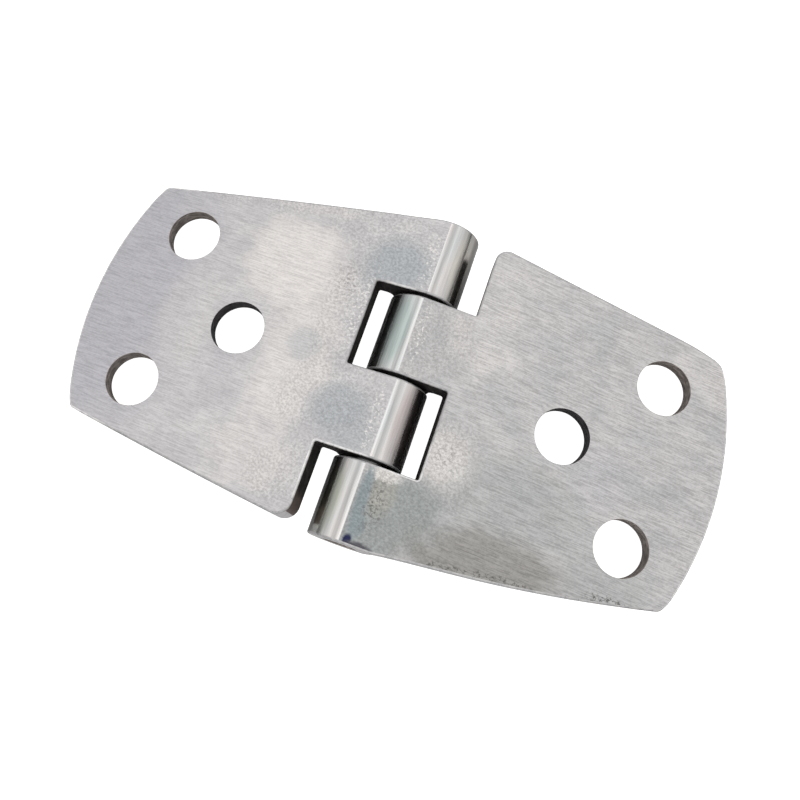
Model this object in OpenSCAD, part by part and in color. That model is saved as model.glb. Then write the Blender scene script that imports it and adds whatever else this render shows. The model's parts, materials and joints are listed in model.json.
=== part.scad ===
// Strap hinge in stainless steel: two tapered leaves whose knuckles take turns on one pin.
// The hinge lies with its flush faces up, on the barrel and on the outer edges of its leaves.
// X runs along the hinge and Y along the pin. Z is up, and the origin is on the surface
// that the hinge lies on, under the middle of the pin.
// A leaf is drawn with the pin's axis on Y and its flush face level, and then laid down.

/* [Leaf] */
// Distance from the pin's axis to the middle of the outer edge
leaf_reach = 50; // [46:0.5:60]
// Thickness of the plate
leaf_t = 4; // [3:0.1:4.8]
// Half of the hinge's width where the lines of its long sides cross the pin's axis
half_width = 26; // [26:0.1:27]
// Angle at which each long side closes in towards the outer edge
taper = 7.25; // [5:0.25:9]
// Radius of the bowed outer edge
edge_r = 51; // [48:1:70]
// Radii of leaf A's outer corners: on its end knuckle's side, and on its notched side
corner_r_a = [1.5, 2]; // [1:0.5:8]
// Radii of leaf B's outer corners: on its end knuckle's side, and on its notched side
corner_r_b = [2.5, 4.5]; // [1:0.5:8]

/* [Screw holes] */
// Diameter of each screw hole
hole_d = 8.4; // [7:0.1:9]
// Diameter of each countersink on the barrel's side of the leaf
sink_d = 12; // [9.5:0.1:12.5]
// Distance from the pin's axis to the two outer holes
outer_hole_x = 38; // [36:0.5:40]
// Distance from the leaf's centre line to each outer hole
outer_hole_y = 12.6; // [10:0.1:13]
// Distance from the pin's axis to the inner hole
inner_hole_x = 25.2; // [20:0.1:26]

/* [Knuckles] */
// Diameter of the barrel
barrel_d = 10.2; // [9.8:0.1:11]
// Distance from one joint between knuckles to the next
knuckle_pitch = 13.2; // [12.5:0.1:14]
// Distances from the centre line to the square ends of the barrel: on leaf A, and on leaf B
knuckle_end = [25.9, 25.5]; // [25:0.1:25.9]
// Gap between neighbouring knuckles
knuckle_gap = 0.6; // [0.3:0.1:1]
// Distance from the pin's axis to the root of each closed notch
notch_x = 7.2; // [7:0.1:8.5]
// Distances from the pin's axis to the roots of the open notches: in leaf A, and in leaf B
open_notch_x = [7.1, 7.6]; // [7:0.1:8.5]
// Radius in the inner corners of each notch
notch_r = 0.3; // [0.3:0.1:1]
// Radii of the corners beside the open notches: on leaf A, and on leaf B
shoulder_r = [2.3, 2]; // [1.5:0.1:5]
// Radius where the barrel meets the underside of the plate
root_r = 1; // [0.5:0.1:1.4]

/* [Pin] */
// Diameter of the pin
pin_d = 5; // [4:0.1:6]
// Radial clearance of the pin in leaf B, which turns on it
pin_clearance = 0.05; // [0.02:0.01:0.09]
// Depth of the pin's ends below the barrel's end faces
pin_recess = 0.3; // [0.1:0.1:1]
// Chamfer on the pin's ends
pin_chamfer = 0.4; // [0.2:0.1:0.6]

/* [Hidden] */
$fn = 96;

steel = "lightslategray";
over = 1;
// A rounding circle reaches this far past the sides that it joins, so that it crosses them
crossing = 0.01;
barrel_r = barrel_d / 2;
underside_z = barrel_r - leaf_t;
edge_x = leaf_reach - edge_r;
deep = 4 * half_width;
corner_r = [corner_r_a, corner_r_b];
A = 0;
B = 1;

// The angle at which a leaf touches the surface with its barrel and its outer edge
lay_angle = atan2(underside_z, leaf_reach)
    + asin(barrel_r / sqrt(leaf_reach * leaf_reach + underside_z * underside_z));

// Half of the hinge's width at distance x from the pin's axis
function side_y(x) = half_width - x * tan(taper);

// A unit vector in the direction a
function heading(a) = [cos(a), sin(a)];

// Centre of a circle of radius r that touches the long side and the bowed outer edge
function corner_centre(r) =
    let (slope = tan(taper),
         rise = half_width - r / cos(taper) - slope * edge_x,
         square_term = 1 + slope * slope,
         reach = edge_r - r,
         root = sqrt(slope * slope * rise * rise - square_term * (rise * rise - reach * reach)),
         along = (slope * rise + root) / square_term)
    [edge_x + along, rise - slope * along];

// Centre of a circle of radius r that touches a notch's root and the long side
function shoulder_centre(r, root_x) = [root_x + r, side_y(root_x + r) - r / cos(taper)];

// What lies outside the circle of radius r about c, between the directions a1 and a2
module corner_waste(c, r, a1, a2) {
    reach = r + over;
    difference() {
        polygon([
            c,
            c + reach * heading(a1),
            c + reach / cos((a2 - a1) / 2) * heading((a1 + a2) / 2),
            c + reach * heading(a2)
        ]);
        translate(c) circle(r = r + crossing);
    }
}

// The waste at an outer corner of radius r, on the side of positive Y
module outer_corner_waste(r) {
    c = corner_centre(r);
    corner_waste(c, r, atan2(c[1], c[0] - edge_x), 90 - taper);
}

// A notch from the pin's side to its root, with small radii in its inner corners
module notch(y1, y2, root_x) {
    translate([-leaf_reach, y1]) square([leaf_reach + root_x - notch_r, y2 - y1]);
    translate([-leaf_reach, y1 + notch_r]) square([leaf_reach + root_x, y2 - y1 - 2 * notch_r]);
    for (y = [y1 + notch_r, y2 - notch_r])
        translate([root_x - notch_r, y]) circle(r = notch_r);
}

// Leaf A or B seen from above, with both of its notches
module leaf_outline(which) {
    end_y = knuckle_end[which];
    near_x = -barrel_r - over;
    end_x = (half_width - end_y) / tan(taper);
    far_x = leaf_reach + over;
    far_y = knuckle_pitch + deep;
    open_x = open_notch_x[which];
    round_r = shoulder_r[which];
    difference() {
        intersection() {
            polygon([
                [near_x, end_y],
                [end_x, end_y],
                [far_x, side_y(far_x)],
                [far_x, -side_y(far_x)],
                [end_x, -end_y],
                [near_x, -end_y]
            ]);
            translate([edge_x, 0]) circle(r = edge_r, $fn = 360);
        }
        notch(-knuckle_pitch - knuckle_gap / 2, knuckle_gap / 2, notch_x);
        notch(knuckle_pitch - knuckle_gap / 2, far_y, open_x);
        corner_waste(shoulder_centre(round_r, open_x), round_r, 90 - taper, 180);
        mirror([0, 1]) outer_corner_waste(corner_r[which][0]);
        outer_corner_waste(corner_r[which][1]);
    }
}

// The leaf seen along the pin: the barrel, the plate, and the round between them
module leaf_section() {
    root_z = underside_z - root_r;
    root_x = sqrt((barrel_r + root_r) * (barrel_r + root_r) - root_z * root_z);
    circle(r = barrel_r);
    translate([0, underside_z]) square([leaf_reach + over, leaf_t]);
    difference() {
        polygon([[0, 0], [root_x, root_z], [root_x, barrel_r - leaf_t / 2], [0, barrel_r - leaf_t / 2]]);
        translate([root_x, root_z]) circle(r = root_r + crossing);
    }
}

// A screw hole through the plate, countersunk from the barrel's side
module screw_hole(x, y) {
    sink_depth = (sink_d - hole_d) / 2;
    translate([x, y, underside_z]) {
        translate([0, 0, -over]) cylinder(d = hole_d, h = leaf_t + 2 * over);
        translate([0, 0, -over]) cylinder(d1 = sink_d + 2 * over, d2 = hole_d, h = sink_depth + over);
    }
}

// A shaft along Y, centred on the origin
module shaft(r, length) {
    rotate([90, 0, 0]) cylinder(r = r, h = length, center = true);
}

// Leaf A or B, with the pin bore that it is given
module leaf(which, bore_r) {
    difference() {
        intersection() {
            translate([0, 0, -deep / 2]) linear_extrude(height = deep) leaf_outline(which);
            rotate([90, 0, 0]) translate([0, 0, -deep / 2]) linear_extrude(height = deep) leaf_section();
        }
        shaft(bore_r, deep);
        screw_hole(inner_hole_x, 0);
        for (side = [-1, 1])
            screw_hole(outer_hole_x, side * outer_hole_y);
    }
}

// Lays a leaf down until its outer edge touches the surface
module lay_down() {
    translate([0, 0, barrel_r]) rotate([0, lay_angle, 0]) children();
}

module leaf_a() {
    color(steel) rotate([0, 0, 180]) lay_down() leaf(A, pin_d / 2);
}

module leaf_b() {
    color(steel) lay_down() leaf(B, pin_d / 2 + pin_clearance);
}

// The pin ends below the barrel's end faces, at leaf A's end and at leaf B's end
module hinge_pin() {
    pin_r = pin_d / 2;
    neck_r = pin_r - pin_chamfer;
    end_a = knuckle_end[A] - pin_recess;
    end_b = knuckle_end[B] - pin_recess;
    color("silver") translate([0, 0, barrel_r]) rotate([-90, 0, 0]) rotate_extrude()
        polygon([
            [0, -end_b],
            [neck_r, -end_b],
            [pin_r, pin_chamfer - end_b],
            [pin_r, end_a - pin_chamfer],
            [neck_r, end_a],
            [0, end_a]
        ]);
}

leaf_a();
leaf_b();
hinge_pin();
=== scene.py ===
"""Strap hinge in stainless steel: two ground leaves with polished knuckles, laid face up."""

import json
import math

import bmesh
import bpy
from mathutils import Matrix, Quaternion, Vector


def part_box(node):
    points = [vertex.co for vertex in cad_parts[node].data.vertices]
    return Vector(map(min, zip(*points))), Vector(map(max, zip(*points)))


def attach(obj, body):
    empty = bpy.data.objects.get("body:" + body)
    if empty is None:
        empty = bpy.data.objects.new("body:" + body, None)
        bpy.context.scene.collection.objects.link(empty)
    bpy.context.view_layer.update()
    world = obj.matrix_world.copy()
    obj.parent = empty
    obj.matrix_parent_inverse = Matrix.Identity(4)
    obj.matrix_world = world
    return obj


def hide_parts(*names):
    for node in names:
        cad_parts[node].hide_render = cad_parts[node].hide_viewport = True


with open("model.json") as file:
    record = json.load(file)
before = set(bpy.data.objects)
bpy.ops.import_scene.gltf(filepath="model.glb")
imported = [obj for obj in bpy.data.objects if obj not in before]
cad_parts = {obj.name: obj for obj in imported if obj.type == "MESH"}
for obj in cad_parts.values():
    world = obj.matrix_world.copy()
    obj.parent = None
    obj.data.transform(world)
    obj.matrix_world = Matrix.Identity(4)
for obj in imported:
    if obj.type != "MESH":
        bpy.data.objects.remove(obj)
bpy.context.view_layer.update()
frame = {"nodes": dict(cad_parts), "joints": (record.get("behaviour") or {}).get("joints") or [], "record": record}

LEAVES = ("leaf_a", "leaf_b")

# Leaf sizes in millimetres
LEAF_T = 4.0
HALF_WIDTH = 26.0
TAPER = math.radians(7.25)
EDGE_R = 51.0
CORNER_R = {"leaf_a": (1.2, 1.2), "leaf_b": (1.2, 2.0)}
KNUCKLE_PITCH = 13.2
KNUCKLE_GAP = 0.6
NOTCH_X = 7.2
OPEN_NOTCH_X = {"leaf_a": 7.1, "leaf_b": 8.15}
NOTCH_R = 0.3
SHOULDER_R = {"leaf_a": 2.3, "leaf_b": 2.0}
ROOT_R = 1.0
PIN_CLEARANCE = {"leaf_a": 0.0, "leaf_b": 0.05}
# How far the open notch's wall leans back from the underside to the flush face
OPEN_NOTCH_LEAN = {"leaf_a": 0.55, "leaf_b": -0.5}
# How the long sides are ground, on the end knuckle's side and on the notched one: how far they bulge,
# at which distance from the pin's axis they begin to fall back, and how far they have at GROUND_TO
SIDE_GRIND = {
    "leaf_a": ((0.05, 8.0, 0.55), (0.0, 9.5, 0.55)),
    "leaf_b": ((0.33, 22.0, 1.25), (0.05, 39.0, 0.7)),
}
GROUND_TO = 46.0
# How far from the long sides the grinding fades out on the bowed outer edge
GROUND_IN = 2.5
# How far the cutting solids reach past the steel
OVER = 1.0
# Vertices closer than this become one before the edges are rounded
MERGE = 0.08

# Steps of the curves: in general, on corners, in the notches, on the round beside the barrel
# and on the bowed outer edge
ARC_STEP = math.radians(4)
CORNER_STEP = math.radians(8)
NOTCH_STEP = math.radians(22.5)
ROOT_STEP = math.radians(10)
EDGE_STEP = math.radians(1)

# Sizes that the frame gives, in millimetres
MM = 0.001
MOUNTS = {m["name"]: m for m in frame["record"]["mounts"]}
BARREL_R = frame["joints"][0]["pos_m"][2] / MM
PIN_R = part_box("hinge_pin")[1].x / MM
KNUCKLE_END = {"leaf_a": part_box("leaf_a")[1].y / MM, "leaf_b": -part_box("leaf_b")[0].y / MM}
LAY_ANGLE = math.atan2(MOUNTS["leaf_b_back"]["axis"][0], MOUNTS["leaf_b_back"]["axis"][2])
LEAF_REACH = (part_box("leaf_b")[1].x / MM - BARREL_R * math.sin(LAY_ANGLE)) / math.cos(LAY_ANGLE)
UNDERSIDE_Z = BARREL_R - LEAF_T
EDGE_X = LEAF_REACH - EDGE_R
NEAR_X = -BARREL_R - OVER
SHOULDER_Y = KNUCKLE_PITCH + 5.0

# How far the scratches on the flats tilt, in degrees, and how strongly they shade the steel
SCRATCH_TILT = -3.0
SCRATCH_DEPTH = {"leaf_a": 0.15, "leaf_b": 0.21}

# How far round the barrel the flat's grinding goes on, in radians
GROUND_OVER = LAY_ANGLE

# Widths of the worn edges, in millimetres, and the smallest angle of an edge that wears
EDGE_WEAR = 0.3
RIM_WEAR = 0.04
WEAR_ANGLE = math.radians(40)

# How far off its place a face may be to count: its normal, and its middle in millimetres
NORMAL_OFF = 0.01
BARREL_OFF = 0.05

# The walls between the knuckles are nearer to the pin than this, and this far from the barrel's ends
BETWEEN_X = NOTCH_X + 1.0
BETWEEN_END = 2.0

# Material slots of a leaf
GROUND, POLISHED, SIDE, NOTCH, HOLE, WORN = range(6)

# Camera, in millimetres and degrees
AIM = (-5.5, -4.56, 5.1)
DISTANCE = 117.74
VIEW_AZIMUTH = 22.87
VIEW_ELEVATION = 76.0
ROLL = -3.46
LENS = 34.95
SENSOR = 36.0
SHIFT_X = 0.06

# How near and how far the camera sees, in metres
CLIP = (0.005, 20.0)

# Floor, in metres, and what it gives off to the steel and to the camera
FLOOR_SIZE = 3.0
FLOOR_GLOW = 0.0
FLOOR_WHITE = 1.0

# Sky: how bright it is at each sine of the elevation, and its tint
SKY = [
    (0.0, 0.06),
    (0.12, 0.15),
    (0.3, 0.6),
    (0.48, 0.76),
    (0.63, 0.9),
    (0.78, 1.06),
    (0.91, 1.02),
    (1.0, 0.98),
]
SKY_TINT = (1.0, 0.99, 0.98)

# The studio's two pale side walls: at which Y of the direction to them they begin and are whole,
# and how bright they are
SIDE_LIGHT = (0.72, 0.9, 0.7)

# Lamp, in metres, and its radiance
LAMP_PLACE = (0.0, 0.17, 0.9)
LAMP_WIDTH = 0.4
LAMP_LENGTH = 0.5
LAMP_RADIANCE = 0.1


# ---------------------------------------------------------------- leaf geometry
def arc(centre, radius, start, end, step=ARC_STEP):
    """Points on an arc from one angle to another, in either direction."""
    count = max(3, math.ceil(abs(end - start) / step))
    angles = [start + (end - start) * i / count for i in range(count + 1)]
    return [(centre[0] + radius * math.cos(a), centre[1] + radius * math.sin(a)) for a in angles]


def side_y(x):
    """Half of the leaf's width at distance x from the pin's axis."""
    return HALF_WIDTH - x * math.tan(TAPER)


def corner_centre(radius):
    """Centre of a circle that touches the long side and the bowed outer edge."""
    slope = math.tan(TAPER)
    rise = HALF_WIDTH - radius / math.cos(TAPER) - slope * EDGE_X
    square_term = 1 + slope * slope
    reach = EDGE_R - radius
    root = math.sqrt((slope * rise) ** 2 - square_term * (rise * rise - reach * reach))
    from_edge = (slope * rise + root) / square_term
    return EDGE_X + from_edge, rise - slope * from_edge


def shoulder(leaf):
    """The round from the long side to the open notch."""
    radius = SHOULDER_R[leaf]
    x = OPEN_NOTCH_X[leaf] + radius
    centre = (x, side_y(x) - radius / math.cos(TAPER))
    return arc(centre, radius, math.pi / 2 - TAPER, math.pi, CORNER_STEP)


def along(start, end, step=2.0):
    """Points on the line between two points, without its ends."""
    count = math.ceil(math.dist(start, end) / step)
    return [tuple(a + (b - a) * i / count for a, b in zip(start, end)) for i in range(1, count)]


def ground_side(leaf, x, y):
    """An outline point moved to where the long side is ground."""
    if x < BARREL_R:
        return x, y
    bulge, start, fall = SIDE_GRIND[leaf][y > 0]
    rise = min((x - BARREL_R) / (start - BARREL_R), 1)
    back = max(x - start, 0) / (GROUND_TO - start)
    outwards = bulge * rise * rise * (3 - 2 * rise) - fall * back * back
    share = min(max(1 - (side_y(x) - abs(y)) / GROUND_IN, 0), 1)
    return x, y + outwards * share * math.copysign(1, y)


def outer_outline(leaf):
    """From the end knuckle, round the bowed outer edge, to the shoulder."""
    end_y = KNUCKLE_END[leaf]
    end_x = (HALF_WIDTH - end_y) / math.tan(TAPER)
    side = math.pi / 2 - TAPER
    low_r, high_r = CORNER_R[leaf]
    low = corner_centre(low_r)
    high = corner_centre(high_r)
    low_meet = math.atan2(low[1], low[0] - EDGE_X)
    high_meet = math.atan2(high[1], high[0] - EDGE_X)
    low_corner = arc((low[0], -low[1]), low_r, -side, -low_meet, CORNER_STEP)
    high_corner = arc(high, high_r, high_meet, side, CORNER_STEP)
    points = [(NEAR_X, -end_y), (end_x, -end_y)]
    points += along(points[-1], low_corner[0]) + low_corner
    points += arc((EDGE_X, 0), EDGE_R, -low_meet, high_meet, EDGE_STEP)[1:-1]
    points += high_corner + along(high_corner[-1], shoulder(leaf)[0])
    return [ground_side(leaf, x, y) for x, y in points]


def open_notch(leaf):
    """The shoulder, and the open notch's wall down to its inner corner."""
    centre = (OPEN_NOTCH_X[leaf] - NOTCH_R, KNUCKLE_PITCH - KNUCKLE_GAP / 2 + NOTCH_R)
    return shoulder(leaf) + arc(centre, NOTCH_R, 0, -math.pi / 2, NOTCH_STEP)


def closed_notch():
    """From the open notch's inner corner, round the inner knuckle and the closed notch."""
    half_gap = KNUCKLE_GAP / 2
    root_x = NOTCH_X - NOTCH_R
    low_y = -KNUCKLE_PITCH - half_gap
    points = [(NEAR_X, KNUCKLE_PITCH - half_gap), (NEAR_X, half_gap)]
    points += arc((root_x, half_gap - NOTCH_R), NOTCH_R, math.pi / 2, 0, NOTCH_STEP)
    points += arc((root_x, low_y + NOTCH_R), NOTCH_R, 0, -math.pi / 2, NOTCH_STEP)
    return points + [(NEAR_X, low_y)]


def leaf_plan(leaf):
    """The leaf's outline at the underside, counterclockwise, as (x, y, how far x leans) points."""
    points = [(x, y, 0) for x, y in outer_outline(leaf)]
    points += [(x, y, OPEN_NOTCH_LEAN[leaf]) for x, y in open_notch(leaf)]
    return points + [(x, y, 0) for x, y in closed_notch()]


def leaf_section():
    """The leaf seen along the pin: the barrel, the plate and the round between them."""
    root_z = UNDERSIDE_Z - ROOT_R
    root_x = math.sqrt((BARREL_R + ROOT_R) ** 2 - root_z**2)
    meet = math.atan2(root_z, root_x)
    far_x = LEAF_REACH + OVER
    points = arc((0, 0), BARREL_R, math.pi / 2, 2 * math.pi + meet)
    points += arc((root_x, root_z), ROOT_R, math.pi + meet, math.pi / 2, ROOT_STEP)[1:]
    return points + [(far_x, UNDERSIDE_Z), (far_x, BARREL_R)]


def prism(name, points, place, half_depth):
    """A closed prism. place turns an outline point and a depth into a 3-D point."""
    bm = bmesh.new()
    rings = [[bm.verts.new(place(*point, d)) for point in points] for d in (-half_depth, half_depth)]
    count = len(points)
    for i in range(count):
        j = (i + 1) % count
        bm.faces.new((rings[0][i], rings[0][j], rings[1][j], rings[1][i]))
    bm.faces.new(rings[0])
    bm.faces.new(rings[1])
    bmesh.ops.recalc_face_normals(bm, faces=bm.faces)
    return to_object(bm, name)


def lathe(name, profile, matrix, segments=96):
    """A closed solid turned about Z from (radius, height, finish above it) points, then placed."""
    bm = bmesh.new()
    angles = [2 * math.pi * i / segments for i in range(segments)]
    rings = []
    for radius, height, _ in profile:
        ring = [(radius * math.cos(a), radius * math.sin(a), height) for a in angles]
        rings.append([bm.verts.new(point) for point in ring])
    for lower, upper, (_, _, finish) in zip(rings, rings[1:], profile):
        for i in range(segments):
            j = (i + 1) % segments
            face = bm.faces.new((lower[i], lower[j], upper[j], upper[i]))
            face.material_index = finish
            face.smooth = True
    bm.faces.new(rings[0])
    bm.faces.new(rings[-1])
    bmesh.ops.recalc_face_normals(bm, faces=bm.faces)
    bm.transform(matrix)
    return to_object(bm, name)


def to_object(bm, name):
    """A new object in the scene with this mesh, which is used up."""
    mesh = bpy.data.meshes.new(name)
    bm.to_mesh(mesh)
    bm.free()
    made = bpy.data.objects.new(name, mesh)
    bpy.context.scene.collection.objects.link(made)
    return made


def apply_modifiers(piece):
    """Makes what the modifiers give the piece's own mesh."""
    graph = bpy.context.evaluated_depsgraph_get()
    mesh = bpy.data.meshes.new_from_object(piece.evaluated_get(graph))
    piece.modifiers.clear()
    piece.data = mesh


def cut(piece, operation, tool):
    """One exact boolean with a tool, which is used up."""
    step = piece.modifiers.new(operation.lower(), "BOOLEAN")
    step.operation = operation
    step.solver = "EXACT"
    step.material_mode = "INDEX"
    step.object = tool
    apply_modifiers(piece)
    bpy.data.objects.remove(tool)


def leaf_matrix(leaf):
    """From a leaf's drawing, with the pin's axis on Y in millimetres, to its place in the frame."""
    turn = math.pi if leaf == "leaf_a" else 0
    lay = Matrix.Translation((0, 0, BARREL_R)) @ Matrix.Rotation(LAY_ANGLE, 4, "Y")
    return Matrix.Scale(MM, 4) @ Matrix.Rotation(turn, 4, "Z") @ lay


def rim(radius, height, wear, upwards):
    """Profile points of a worn rim where a hole of this radius meets a face at this height."""
    up = 1 if upwards else -1
    points = []
    for i in range(4):
        a = math.radians(30 * i)
        inset = wear * (1 - math.sin(a))
        points.append((radius + wear * (1 - math.cos(a)), height - up * inset, HOLE))
    points.append((radius + wear, height + up * OVER, HOLE))
    return points[::up]


def hole_tools(leaf):
    """The screw holes' cutting solids, where the mounts are."""
    to_drawing = leaf_matrix(leaf).inverted()
    for name, mount in MOUNTS.items():
        if mount["kind"] != "bore" or not name.startswith(leaf):
            continue
        centre = to_drawing @ Vector(mount["pos_m"])
        radius = mount["dims"]["r_mm"]
        depth = LEAF_T - mount["dims"]["length_mm"]
        profile = [
            (radius + depth + OVER, UNDERSIDE_Z - OVER, HOLE),
            (radius, UNDERSIDE_Z + depth, HOLE),
            *rim(radius, BARREL_R, RIM_WEAR, True),
        ]
        yield lathe(name + "_tool", profile, Matrix.Translation((centre.x, centre.y, 0)))


def bore_tool(leaf):
    """The pin bore's cutting solid, with a worn rim at each end of the barrel."""
    radius = PIN_R + PIN_CLEARANCE[leaf]
    end = KNUCKLE_END[leaf]
    profile = rim(radius, -end, RIM_WEAR, False) + rim(radius, end, RIM_WEAR, True)
    return lathe("bore", profile, Matrix.Rotation(math.pi / 2, 4, "X"))


def clean(mesh, end_y):
    """Merges what the boolean split, and gives each face its finish."""
    bm = bmesh.new()
    bm.from_mesh(mesh)
    bmesh.ops.remove_doubles(bm, verts=bm.verts, dist=MERGE)
    bmesh.ops.dissolve_limit(bm, angle_limit=math.radians(0.1), verts=bm.verts, edges=bm.edges)
    for face in bm.faces:
        face.material_index = finish_of(face, end_y)
        face.smooth = True
    bm.to_mesh(mesh)
    bm.free()


def finish_of(face, end_y):
    """Which finish a face has, from where it is on the leaf's drawing."""
    middle = face.calc_center_median()
    along_pin = abs(face.normal.y) < NORMAL_OFF
    underside = face.normal.z < -0.999
    if underside or (along_pin and face.normal.z > math.cos(GROUND_OVER)):
        return GROUND
    if along_pin and abs(math.hypot(middle.x, middle.z) - BARREL_R) < BARREL_OFF:
        return POLISHED
    between_knuckles = middle.x < BETWEEN_X and abs(middle.y) < end_y - BETWEEN_END
    return NOTCH if between_knuckles else SIDE


def place_plan(x, y, lean, z):
    """A point of the outline at height z, where the notch's wall has leaned along the long side."""
    moved = lean * (z - UNDERSIDE_Z) / LEAF_T
    return x + moved, y - moved * math.tan(TAPER) * (y > SHOULDER_Y), z


def build_leaf(leaf, materials):
    """The whole leaf as one mesh, with worn edges, in its place."""
    end_y = KNUCKLE_END[leaf]
    piece = prism(leaf + "_visual", leaf_plan(leaf), place_plan, 2 * BARREL_R)
    for material in materials:
        piece.data.materials.append(material)
    cut(piece, "INTERSECT", prism("section", leaf_section(), lambda x, z, d: (x, d, z), 2 * HALF_WIDTH))
    clean(piece.data, end_y)
    wear = piece.modifiers.new("wear", "BEVEL")
    wear.angle_limit = WEAR_ANGLE
    wear.width = EDGE_WEAR
    wear.segments = 3
    wear.use_clamp_overlap = False
    wear.loop_slide = False
    wear.material = WORN
    apply_modifiers(piece)
    for vertex in piece.data.vertices:
        vertex.co.y = max(vertex.co.y, -end_y)
    cut(piece, "DIFFERENCE", bore_tool(leaf))
    for tool in hole_tools(leaf):
        cut(piece, "DIFFERENCE", tool)
    piece.data.transform(leaf_matrix(leaf))
    piece.modifiers.new("normals", "WEIGHTED_NORMAL")
    apply_modifiers(piece)
    return piece


# ---------------------------------------------------------------- materials
class Shader:
    """Builds the nodes of one procedural material. Coordinates are the object's own, in millimetres."""

    def __init__(self, name, metallic=1.0):
        self.material = bpy.data.materials.new(name)
        self.material.use_nodes = True
        self.tree = self.material.node_tree
        self.surface = self.tree.nodes["Principled BSDF"]
        self.surface.inputs["Metallic"].default_value = metallic
        self.coordinates = self.tree.nodes.new("ShaderNodeTexCoord").outputs["Object"]

    def turned(self, degrees):
        """The coordinates turned about Z, so that what runs along X is tilted by this angle."""
        mapping = self.tree.nodes.new("ShaderNodeMapping")
        mapping.inputs["Rotation"].default_value = (0, 0, -math.radians(degrees))
        self.put(self.coordinates, mapping.inputs["Vector"])
        return mapping.outputs["Vector"]

    def put(self, value, socket):
        """Links an output to a socket, or sets the socket to a number or a colour."""
        if isinstance(value, bpy.types.NodeSocket):
            self.tree.links.new(value, socket)
        else:
            socket.default_value = value

    def noise(self, size, detail=2.0, seed=0.0, roughness=0.5, coordinates=None):
        """Noise from 0 to 1 whose grains have these sizes along X, Y and Z; None is endless."""
        mapping = self.tree.nodes.new("ShaderNodeMapping")
        mapping.inputs["Scale"].default_value = [0 if s is None else 1 / (s * MM) for s in size]
        mapping.inputs["Location"].default_value = (seed, 1.7 * seed, 2.3 * seed)
        self.put(coordinates or self.coordinates, mapping.inputs["Vector"])
        noise = self.tree.nodes.new("ShaderNodeTexNoise")
        noise.inputs["Scale"].default_value = 1.0
        noise.inputs["Detail"].default_value = detail
        noise.inputs["Roughness"].default_value = roughness
        self.put(mapping.outputs["Vector"], noise.inputs["Vector"])
        return noise.outputs["Fac"]

    def axis(self, name):
        """One coordinate of the surface, in millimetres."""
        split = self.tree.nodes.new("ShaderNodeSeparateXYZ")
        self.put(self.coordinates, split.inputs["Vector"])
        return self.math("MULTIPLY", split.outputs[name], 1 / MM)

    def math(self, operation, a, b=0.0, c=0.0):
        """One of Blender's operations on two or three numbers."""
        node = self.tree.nodes.new("ShaderNodeMath")
        node.operation = operation
        for value, socket in zip((a, b, c), node.inputs):
            self.put(value, socket)
        return node.outputs["Value"]

    def spread(self, value, low, high, to_low=0.0, to_high=1.0):
        """Maps a value's range to another one, smoothly and without passing its ends."""
        node = self.tree.nodes.new("ShaderNodeMapRange")
        node.interpolation_type = "SMOOTHSTEP"
        for number, socket in zip((value, low, high, to_low, to_high), node.inputs):
            self.put(number, socket)
        return node.outputs["Result"]

    def mix(self, factor, a, b, blend="MIX"):
        """A mix of two colours."""
        node = self.tree.nodes.new("ShaderNodeMix")
        node.data_type = "RGBA"
        node.blend_type = blend
        self.put(factor, node.inputs["Factor"])
        self.put(a, node.inputs[6])
        self.put(b, node.inputs[7])
        return node.outputs[2]

    def grey(self, level):
        """A grey of this level, as a colour."""
        node = self.tree.nodes.new("ShaderNodeCombineColor")
        for socket in list(node.inputs)[:3]:
            self.put(level, socket)
        return node.outputs["Color"]

    def ramp(self, value, levels):
        """A grey that goes smoothly through (value, level) rows."""
        node = self.tree.nodes.new("ShaderNodeValToRGB")
        low, high = levels[0][0], levels[-1][0]
        top = max(level for _, level in levels)
        stops = node.color_ramp.elements
        while len(stops) < len(levels):
            stops.new(0.5)
        for stop, (position, level) in zip(stops, levels):
            stop.position = (position - low) / (high - low)
            stop.color = rgb(level / top, level / top, level / top)
        node.color_ramp.interpolation = "EASE"
        self.put(self.math("DIVIDE", self.math("SUBTRACT", value, low), high - low), node.inputs["Fac"])
        return self.grey(self.math("MULTIPLY", node.outputs["Color"], top))

    def spot(self, centre, reach):
        """A soft spot seen along Z: 1 at its centre and 0 from its reach outwards."""
        mapping = self.tree.nodes.new("ShaderNodeMapping")
        mapping.vector_type = "TEXTURE"
        mapping.inputs["Location"].default_value = (centre[0] * MM, centre[1] * MM, 0)
        mapping.inputs["Scale"].default_value = (reach[0] * MM, reach[1] * MM, 1)
        self.put(self.coordinates, mapping.inputs["Vector"])
        gradient = self.tree.nodes.new("ShaderNodeTexGradient")
        gradient.gradient_type = "SPHERICAL"
        self.put(mapping.outputs["Vector"], gradient.inputs["Vector"])
        return gradient.outputs["Fac"]

    def bump(self, height, depth, normal=None):
        """Turns a height from 0 to 1 into bump that is this many millimetres deep."""
        node = self.tree.nodes.new("ShaderNodeBump")
        node.inputs["Distance"].default_value = depth * MM
        self.put(height, node.inputs["Height"])
        if normal is not None:
            self.put(normal, node.inputs["Normal"])
        return node.outputs["Normal"]

    def clear_from_behind(self):
        """Lets the surface be seen through from its back."""
        blend = self.tree.nodes.new("ShaderNodeMixShader")
        self.put(self.tree.nodes.new("ShaderNodeNewGeometry").outputs["Backfacing"], blend.inputs["Fac"])
        self.put(self.surface.outputs["BSDF"], blend.inputs[1])
        self.put(self.tree.nodes.new("ShaderNodeBsdfTransparent").outputs["BSDF"], blend.inputs[2])
        self.put(blend.outputs["Shader"], self.tree.nodes["Material Output"].inputs["Surface"])

    def finish(self, colour, roughness, normal):
        """Gives the surface its colour, roughness and bump."""
        self.put(colour, self.surface.inputs["Base Color"])
        self.put(roughness, self.surface.inputs["Roughness"])
        self.put(normal, self.surface.inputs["Normal"])
        return self.material


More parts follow.
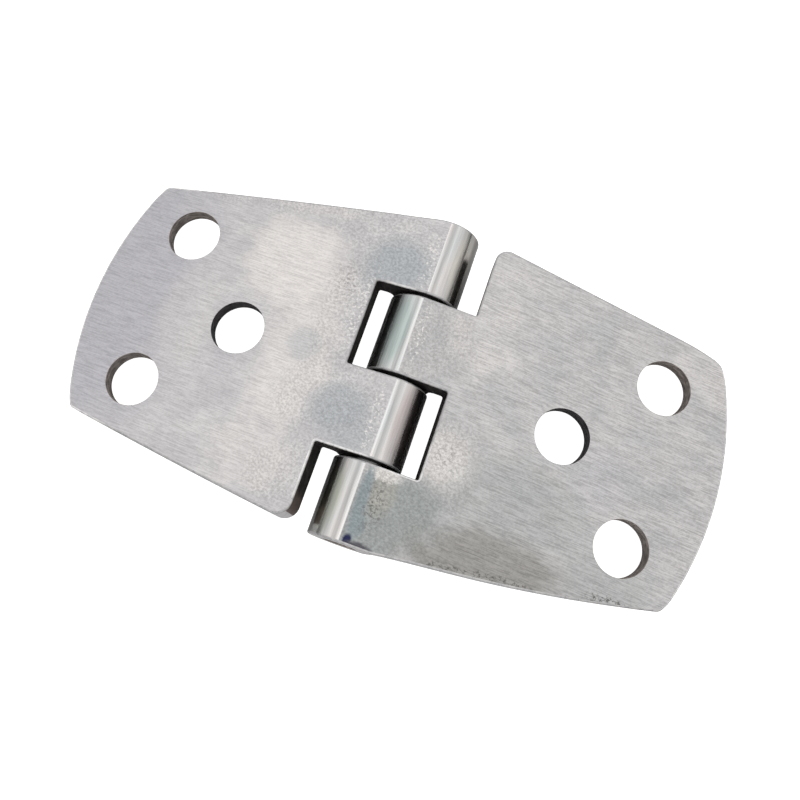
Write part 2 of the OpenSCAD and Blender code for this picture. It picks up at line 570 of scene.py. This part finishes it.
def rgb(*levels):
    """An opaque colour."""
    return (*levels, 1.0)


# Tints of the steel
WARM = rgb(0.75, 0.72, 0.70)
PALE = rgb(0.85, 0.83, 0.81)
LILAC = rgb(0.495, 0.49, 0.52)
BLUE = rgb(0.455, 0.475, 0.495)
DUSK = rgb(0.36, 0.38, 0.378)
BUFF = rgb(0.46, 0.44, 0.39)
STEEL_BLUE = rgb(0.30, 0.345, 0.365)
NAVY = rgb(0.03, 0.035, 0.09)
SOOT = rgb(0.11, 0.11, 0.125)
UMBER = rgb(0.33, 0.323, 0.31)
PIT_BLACK = rgb(0.12, 0.115, 0.11)

# The flats' two tints, lighter on leaf A than on leaf B
GROUND_TINTS = {
    "leaf_a": (rgb(0.545, 0.535, 0.55), rgb(0.635, 0.625, 0.625)),
    "leaf_b": (rgb(0.485, 0.485, 0.49), rgb(0.555, 0.545, 0.545)),
}

# Clouds on the flats: centre and reach along X and Y in millimetres, the tint, and how much of it
# The warm pale clouds near the middle of the hinge are a painted highlight, and the dusky ones darken leaf B
# towards its lower side.
CLOUDS = {
    "leaf_a": [
        (-45, 0, 18, 34, LILAC, 1.0),
        (-20.5, 13, 12, 10, WARM, 0.85),
        (-16, -2, 9, 16, WARM, 0.7),
        (-17, -18, 9, 8, WARM, 0.4),
        (-5.5, 16, 7, 7, BLUE, 1.0),
        (-15, 0.5, 4, 4, BLUE, 0.5),
        (-6, -8, 7, 6, BLUE, 0.9),
        (-3, -11.5, 4, 4, BLUE, 0.6),
        (-34, 0, 6, 14, WARM, 0.3),
        (-24, -4, 6, 11, LILAC, 0.4),
    ],
    "leaf_b": [
        (10, 13, 8, 14, WARM, 0.25),
        (11, -9.5, 6, 6, WARM, 0.6),
        (22, -12, 14, 9, DUSK, 0.5),
        (6, -19, 12, 8, DUSK, 1.0),
        (3, -24, 6, 6, DUSK, 1.0),
        (37, -19, 9, 8, DUSK, 0.5),
        (21, -23.2, 17, 8.5, UMBER, 1.0),
        (33, -4, 6, 6, LILAC, 0.4),
        (45, 18, 8, 8, WARM, 0.25),
    ],
}

# Small stains on the flats, in the same form
STAINS = {
    "leaf_a": [(-22, 23, 12, 2.5, WARM, 0.3)],
    "leaf_b": [
        (11.5, -10, 4, 3, PALE, 0.25),
        (3.6, -17, 2.6, 4.5, BUFF, 0.55),
        (3, -14.4, 3.4, 1.4, WARM, 0.8),
        (1.1, -19, 1.15, 8, STEEL_BLUE, 0.95),
        (1.6, -22.5, 1.6, 2.5, STEEL_BLUE, 0.8),
        (0.9, -24.8, 0.9, 1.2, NAVY, 1.0),
        (2.6, -25.2, 2.6, 0.9, SOOT, 1.0),
    ],
}

# Pickled patches, where the grain shows: centre, reach and strength
PICKLED = {
    "leaf_a": [
        (-5, 19, 16, 9, 1.0),
        (-9, 6, 9, 12, 1.0),
        (-7, -7, 14, 10, 1.0),
        (-12, -20, 10, 8, 0.7),
        (-30, 24, 28, 6, 0.9),
    ],
    "leaf_b": [(3, 7, 10, 10, 1.0), (10, -9, 9, 9, 1.0), (5, -19, 14, 10, 1.0)],
}

# Pale flecks by the notches and the barrel, and dark pits, as patches of the same kind
FLECKED = {
    "leaf_a": [
        (-1.2, 19, 1.3, 9, 1.0),
        (-1.2, -7, 1.3, 9, 1.0),
        (-8.6, 8, 3.5, 11, 0.8),
        (-25, 24, 25, 2.5, 0.5),
    ],
    "leaf_b": [(1.2, 7, 1.5, 9, 0.8), (9, -9, 3.5, 7, 0.5), (3, -14.6, 4, 1.6, 0.8)],
}
PITTED = {
    "leaf_a": [(-12, 12, 7, 9, 0.5), (-20, 24, 22, 2.5, 0.5)],
    "leaf_b": [
        (10.5, -9, 6, 7, 0.5),
        (3, -19, 3.5, 8, 0.75),
        (16, -24.4, 5, 1.6, 2.4),
        (24, -23.4, 7, 1.6, 2.4),
        (38.5, -20.6, 5, 1.4, 1.6),
    ],
}

# Where the worn edges are painted pale as a highlight, in the same form; elsewhere they are as dull as the flats
BRIGHT_EDGES = {
    "leaf_a": [
        (-4, -13, 5, 2, 1.6),
        (-7.5, -17, 2, 8, 1.2),
        (-4, 13.2, 4, 2, 0.6),
        (-48, 0, 12, 60, 1.2),
    ],
    "leaf_b": [
        (5, -13.4, 4, 2, 1.6),
        (7.4, -10, 1.5, 4, 0.8),
        (54, 4, 12, 40, 2.0),
        (25, -25, 50, 9, 0.3),
    ],
}

# Patches in the notches: leaf A's open one is browner and lighter towards its long side
NOTCH_STAINS = {"leaf_a": [(-8.5, -23.5, 3, 4, rgb(0.17, 0.135, 0.12), 1.0)], "leaf_b": []}


def patches(s, rows):
    """Soft patches, each a centre, a reach and a strength, added up."""
    total = 0.0
    for x, y, reach_x, reach_y, amount in rows:
        total = s.math("MULTIPLY_ADD", s.spot((x, y), (reach_x, reach_y)), amount, total)
    return total


def ragged(s, inside, noise):
    """Breaks up a soft patch with noise, and leaves nothing of it where it has faded out."""
    return s.math("MULTIPLY", inside, s.math("MULTIPLY_ADD", noise, 2.4, 0.1))


def stained(s, colour, rows, noise):
    """Lays ragged clouds of tint on a colour."""
    for x, y, reach_x, reach_y, tint, amount in rows:
        inside = ragged(s, s.spot((x, y), (reach_x, reach_y)), noise)
        colour = s.mix(s.spread(inside, 0.05, 0.75, 0, amount), colour, tint)
    return colour


def flecks(s, leaf, seed):
    """Where the pale flecks are."""
    grains = s.spread(s.noise((0.36, 0.36, None), 1, seed), 0.55, 0.68)
    return s.math("MULTIPLY", grains, s.spread(patches(s, FLECKED[leaf]), 0.05, 0.6, 0, 0.8))


def pits(s, leaf, seed):
    """Where the dark pits are: round dots and thin winding lines."""
    dots = s.spread(s.noise((0.6, 0.45, None), 2, seed), 0.45, 0.35)
    winding = s.math("SUBTRACT", s.noise((1.1, 1.1, None), 2, seed + 2), 0.5)
    lines = s.spread(s.math("ABSOLUTE", winding), 0.025, 0.0)
    inside = s.spread(patches(s, PITTED[leaf]), 0.1, 0.8)
    return s.math("MULTIPLY", s.math("MAXIMUM", dots, lines), inside)


def ground_steel(leaf, seed):
    """Satin flats: short scratches along the hinge, clouds of tint that are partly a painted highlight, and grain
    near the knuckles.
    """
    s = Shader(leaf + "_ground")
    tilted = s.turned(SCRATCH_TILT)
    coarse = s.noise((3.2, 0.3, None), 2, seed, 0.6, tilted)
    fine = s.noise((2.6, 0.14, None), 2, seed + 3, 0.6, tilted)
    brushed = s.math("MULTIPLY_ADD", coarse, 0.3, s.math("MULTIPLY", fine, 0.7))
    hairs = s.spread(s.noise((2.2, 0.12, None), 1, seed + 9, 0.5, tilted), 0.6, 0.74)
    grain = s.noise((0.42, 0.34, None), 3, seed + 5, 0.75, tilted)
    cloud = s.noise((5, 5, None), 3, seed + 7, 0.6)
    colour = s.mix(s.spread(cloud, 0.32, 0.68), *GROUND_TINTS[leaf])
    # clouds of tint, partly a painted highlight
    colour = stained(s, colour, CLOUDS[leaf], cloud)
    colour = stained(s, colour, STAINS[leaf], s.noise((1.1, 1.1, None), 3, seed + 17, 0.7))
    pickled = s.spread(ragged(s, patches(s, PICKLED[leaf]), cloud), 0.2, 0.7)
    scratched = s.math("MULTIPLY_ADD", hairs, -0.16, s.math("MULTIPLY_ADD", grain, 0.5, brushed))
    depth = SCRATCH_DEPTH[leaf]
    shade = s.spread(scratched, 0.52, 0.92, 0.98 - depth, 0.98 + depth)
    speckle = s.spread(grain, 0.3, 0.7, 0.78, 1.18)
    colour = s.mix(1.0, colour, s.grey(s.spread(pickled, 0, 1, shade, speckle)), "MULTIPLY")
    colour = s.mix(flecks(s, leaf, seed + 11), colour, PALE)
    pitted = pits(s, leaf, seed + 13)
    colour = s.mix(s.math("MULTIPLY", pitted, 0.8), colour, PIT_BLACK)
    roughness = s.spread(brushed, 0.3, 0.7, 0.42, 0.32)
    roughness = s.spread(pickled, 0, 1, roughness, 0.46)
    height = s.math("MULTIPLY_ADD", pitted, -1.5, s.math("MULTIPLY", grain, pickled))
    return s.finish(colour, roughness, s.bump(height, 0.012, s.bump(brushed, 0.005)))


# Tints on the barrel, as clouds; the pale one on leaf A's end knuckle, on its side away from the leaf, is a
# painted reflection
BARREL_CLOUDS = {
    "leaf_a": [
        (3.4, -7, 2.4, 8, rgb(0.62, 0.54, 0.53), 0.7),
        (3.6, 20, 2, 8, rgb(0.82, 0.79, 0.74), 1.0),
    ],
    "leaf_b": [
        (-2.5, 7, 2.6, 9, rgb(0.50, 0.585, 0.57), 0.9),
        (-3.4, -20, 2, 7, rgb(0.56, 0.60, 0.50), 0.7),
    ],
}

# How bright the barrel is painted at each distance from its top line, in millimetres: a painted highlight line
# near the top, a darker band and a second broad sheen beside it, and painted shade towards the barrel's lower side
RUBBED = [
    (0.0, 0.95),
    (0.12, 1.05),
    (0.3, 1.2),
    (0.5, 1.0),
    (0.8, 0.7),
    (1.1, 0.78),
    (1.5, 0.98),
    (2.2, 0.93),
    (3.4, 0.93),
    (4.2, 0.75),
    (4.8, 0.4),
]

# How much nearer to the top line the painted highlight lies on leaf A's end knuckle
END_SHIFT = {"leaf_a": 0.15, "leaf_b": 0.0}


def polished_steel(leaf, seed):
    """Knuckles: hand polished along the pin, with a painted highlight line beside the flat and painted shade lower
    round the barrel.
    """
    s = Shader(leaf + "_polished")
    wave = s.noise((2.2, 7, 2.2), 2, seed)
    streaks = s.noise((0.3, 9, 0.3), 3, seed + 2, 0.6)
    tint = s.noise((1.5, 8, 1.5), 2, seed + 4)
    colour = s.mix(s.spread(tint, 0.3, 0.7), rgb(0.66, 0.68, 0.68), rgb(0.72, 0.69, 0.68))
    # tints, and a painted reflection on leaf A's end knuckle
    colour = stained(s, colour, BARREL_CLOUDS[leaf], tint)
    colour = s.mix(1.0, colour, s.grey(s.spread(streaks, 0.3, 0.7, 0.9, 1.06)), "MULTIPLY")
    shift = s.spread(s.axis("Y"), 5, 8, -0.15, END_SHIFT[leaf] - 0.15)
    across = s.math("ADD", s.math("MULTIPLY_ADD", wave, 0.3, shift), s.math("ABSOLUTE", s.axis("X")))
    # painted highlight and painted shade across the barrel, multiplied into its colour
    colour = s.mix(1.0, colour, s.ramp(across, RUBBED), "MULTIPLY")
    roughness = s.spread(streaks, 0.3, 0.7, 0.14, 0.22)
    return s.finish(colour, roughness, s.bump(streaks, 0.006, s.bump(wave, 0.05)))


def side_steel(leaf, seed):
    """Outer walls: ground along the outline, and painted pale so that they stay light where they mirror the shaded
    floor.
    """
    s = Shader(leaf + "_side", metallic=0.7)
    marks = s.noise((0.5, 0.5, 0.12), 3, seed)
    # pale colour: painted light on the outer walls
    colour = s.mix(s.spread(marks, 0.3, 0.7), rgb(0.58, 0.57, 0.58), rgb(0.78, 0.77, 0.78))
    return s.finish(colour, s.spread(marks, 0.3, 0.7, 0.3, 0.45), s.bump(marks, 0.015))


def notch_steel(leaf, seed):
    """Walls between the knuckles: as cut and rough, with painted shade that makes them nearly black."""
    s = Shader(leaf + "_notch", metallic=0.6)
    stain = s.noise((0.9, 0.9, 0.6), 4, seed)
    # near-black colour: painted shade between the knuckles
    colour = s.mix(s.spread(stain, 0.3, 0.72), rgb(0.018, 0.016, 0.016), rgb(0.07, 0.062, 0.06))
    colour = stained(s, colour, NOTCH_STAINS[leaf], stain)
    return s.finish(colour, s.spread(stain, 0.3, 0.7, 0.45, 0.65), s.bump(stain, 0.03))


def hole_steel(leaf, seed):
    """Walls of the holes: drilled; brownish grey in the outer ones, a painted reflection of a brown surface
    beneath, and nearly black in the inner one, painted shade.
    """
    s = Shader(leaf + "_hole", metallic=0.3)
    stain = s.noise((1.2, 1.2, 0.5), 4, seed)
    # brownish grey: painted reflection; near black by the inner hole: painted shade
    pale = s.mix(s.spread(stain, 0.3, 0.72), rgb(0.16, 0.135, 0.125), rgb(0.46, 0.41, 0.38))
    dark = s.mix(s.spread(stain, 0.3, 0.72), rgb(0.02, 0.018, 0.02), rgb(0.10, 0.092, 0.095))
    x, y, _ = MOUNTS[leaf + "_inner_hole"]["pos_m"]
    inner = s.spread(s.spot((x / MM, y / MM), (12, 12)), 0, 0.3)
    return s.finish(s.mix(inner, pale, dark), s.spread(stain, 0.3, 0.7, 0.45, 0.65), s.bump(stain, 0.03))


def worn_steel(leaf, seed):
    """Rounded edges: painted pale in places as a highlight, and elsewhere as dull as the flats."""
    s = Shader(leaf + "_worn_highlit", metallic=0.6)
    rub = s.noise((0.7, 0.7, 0.7), 3, seed)
    dull = s.mix(s.spread(rub, 0.3, 0.7), rgb(0.38, 0.38, 0.39), rgb(0.54, 0.53, 0.53))
    # painted highlight: pale colour for the light the rounded edges catch
    bright = s.mix(s.spread(rub, 0.3, 0.7), rgb(0.66, 0.66, 0.67), rgb(0.92, 0.91, 0.9))
    colour = s.mix(s.spread(patches(s, BRIGHT_EDGES[leaf]), 0.05, 0.6), dull, bright)
    return s.finish(colour, s.spread(rub, 0.3, 0.7, 0.26, 0.4), s.bump(rub, 0.01))


def turned_steel(name, seed):
    """The pin: turned, with rings about its axis."""
    s = Shader(name)
    rings = s.noise((None, 0.1, None), 2, seed)
    colour = s.mix(s.spread(rings, 0.3, 0.7), rgb(0.42, 0.42, 0.43), rgb(0.6, 0.6, 0.6))
    return s.finish(colour, s.spread(rings, 0.3, 0.7, 0.25, 0.4), s.bump(rings, 0.01))


def leaf_materials(leaf, seed):
    """A leaf's materials, in the order of its slots."""
    kinds = (ground_steel, polished_steel, side_steel, notch_steel, hole_steel, worn_steel)
    return [kind(leaf, seed) for kind in kinds]


# ---------------------------------------------------------------- assembly
for i, leaf in enumerate(LEAVES):
    piece = build_leaf(leaf, leaf_materials(leaf, 5.0 * i + 1))
    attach(piece, leaf)
    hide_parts(leaf)

pin = frame["nodes"]["hinge_pin"]
pin.material_slots[0].material = turned_steel("pin_turned", 3.0)


# ---------------------------------------------------------------- floor, lights and camera
def direction(azimuth, elevation):
    """Unit vector from the object to a viewer who looks along +Y at azimuth 0."""
    a, e = math.radians(azimuth), math.radians(elevation)
    return Vector((math.sin(a) * math.cos(e), -math.cos(a) * math.cos(e), math.sin(e)))


def build_floor():
    """A pale floor that is evenly white to the camera and a plain grey to the steel."""
    bm = bmesh.new()
    bmesh.ops.create_grid(bm, x_segments=1, y_segments=1, size=FLOOR_SIZE)
    floor = to_object(bm, "floor")
    s = Shader("pale_floor", metallic=0.0)
    paper = s.noise((40, 40, None), 2, 1.0)
    colour = s.mix(paper, rgb(0.62, 0.62, 0.62), rgb(0.68, 0.68, 0.68))
    seen = s.tree.nodes.new("ShaderNodeLightPath").outputs["Is Camera Ray"]
    s.surface.inputs["Emission Color"].default_value = rgb(1, 1, 1)
    s.put(s.spread(seen, 0, 1, FLOOR_GLOW, FLOOR_WHITE), s.surface.inputs["Emission Strength"])
    s.surface.inputs["Specular IOR Level"].default_value = 0.0
    floor.data.materials.append(s.finish(colour, 0.9, s.bump(paper, 0.001)))
    s.clear_from_behind()


def build_lamp():
    """A long soft light overhead, in line with the pin."""
    data = bpy.data.lights.new("overhead", "AREA")
    data.shape = "RECTANGLE"
    data.size = LAMP_WIDTH
    data.size_y = LAMP_LENGTH
    data.energy = LAMP_RADIANCE * math.pi * LAMP_WIDTH * LAMP_LENGTH
    lamp = bpy.data.objects.new("overhead", data)
    bpy.context.scene.collection.objects.link(lamp)
    lamp.location = LAMP_PLACE


def side_walls(nodes, link, across):
    """The light of the two side walls, from the Y of the direction."""
    apart = nodes.new("ShaderNodeMath")
    apart.operation = "ABSOLUTE"
    link(across, apart.inputs[0])
    walls = nodes.new("ShaderNodeMapRange")
    walls.interpolation_type = "SMOOTHSTEP"
    link(apart.outputs[0], walls.inputs["Value"])
    walls.inputs["From Min"].default_value = SIDE_LIGHT[0]
    walls.inputs["From Max"].default_value = SIDE_LIGHT[1]
    walls.inputs["To Max"].default_value = SIDE_LIGHT[2]
    return walls.outputs["Result"]


def sky_light(nodes, link):
    """The light of the sky, bright overhead and dim near the horizon, and of the side walls."""
    toward = nodes.new("ShaderNodeSeparateXYZ")
    link(nodes.new("ShaderNodeTexCoord").outputs["Generated"], toward.inputs["Vector"])
    sky = nodes.new("ShaderNodeValToRGB")
    link(toward.outputs["Z"], sky.inputs["Fac"])
    stops = sky.color_ramp.elements
    while len(stops) < len(SKY):
        stops.new(0.5)
    for stop, (position, level) in zip(stops, SKY):
        stop.position = position
        stop.color = rgb(*(level * tint for tint in SKY_TINT))
    lit = nodes.new("ShaderNodeMix")
    lit.data_type = "RGBA"
    lit.blend_type = "ADD"
    lit.inputs["Factor"].default_value = 1.0
    link(sky.outputs["Color"], lit.inputs[6])
    link(side_walls(nodes, link, toward.outputs["Y"]), lit.inputs[7])
    return lit.outputs[2]


def build_world():
    """A soft sky whose backdrop is white."""
    world = bpy.data.worlds.new("studio")
    bpy.context.scene.world = world
    world.use_nodes = True
    nodes = world.node_tree.nodes
    link = world.node_tree.links.new
    backdrop = nodes.new("ShaderNodeMix")
    backdrop.data_type = "RGBA"
    link(nodes.new("ShaderNodeLightPath").outputs["Is Camera Ray"], backdrop.inputs["Factor"])
    link(sky_light(nodes, link), backdrop.inputs[6])
    backdrop.inputs[7].default_value = rgb(1, 1, 1)
    link(backdrop.outputs[2], nodes["Background"].inputs["Color"])


def build_camera():
    """The camera, close above the hinge."""
    data = bpy.data.cameras.new("camera")
    data.sensor_width = SENSOR
    data.lens = LENS
    data.shift_x = SHIFT_X
    camera = bpy.data.objects.new("camera", data)
    bpy.context.scene.collection.objects.link(camera)
    back = direction(VIEW_AZIMUTH, VIEW_ELEVATION)
    camera.location = Vector(AIM) * MM + back * DISTANCE * MM
    camera.rotation_mode = "QUATERNION"
    roll = Quaternion((0, 0, 1), math.radians(ROLL))
    camera.rotation_quaternion = (-back).to_track_quat("-Z", "Y") @ roll
    data.clip_start, data.clip_end = CLIP
    bpy.context.scene.camera = camera


build_floor()
build_lamp()
build_world()
build_camera()
bpy.context.scene.view_settings.view_transform = "Standard"
